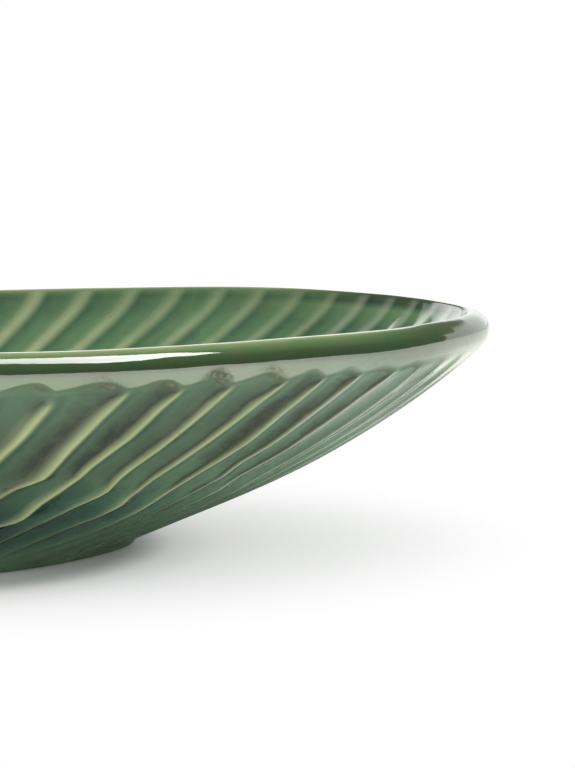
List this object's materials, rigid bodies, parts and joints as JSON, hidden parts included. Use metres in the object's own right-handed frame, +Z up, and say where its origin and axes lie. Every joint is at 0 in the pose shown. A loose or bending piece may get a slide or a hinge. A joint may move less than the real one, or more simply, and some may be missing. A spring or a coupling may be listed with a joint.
{
  "type": "leaf shaped plate",
  "caption": "Deep leaf shaped stoneware plate with pleated vein ribs on its flaring wall, a rounded lip and a low foot, under mottled green glaze.",
  "frame": {"origin": "on the table, below the middle of the plate's box", "axes": "+X along the leaf from its stem end to its tip, +Y across the leaf, +Z up out of the dish"},
  "size_m": [0.226, 0.1412, 0.0517],
  "materials": {
    "bare_clay": "matte",
    "green_glaze": "gloss",
    "well_glaze": "gloss"
  },
  "bodies": {
    "root": {"clay_body": "bare_clay", "glaze_coat": "green_glaze", "underside_glaze": "well_glaze"}
  },
  "joints": []
}
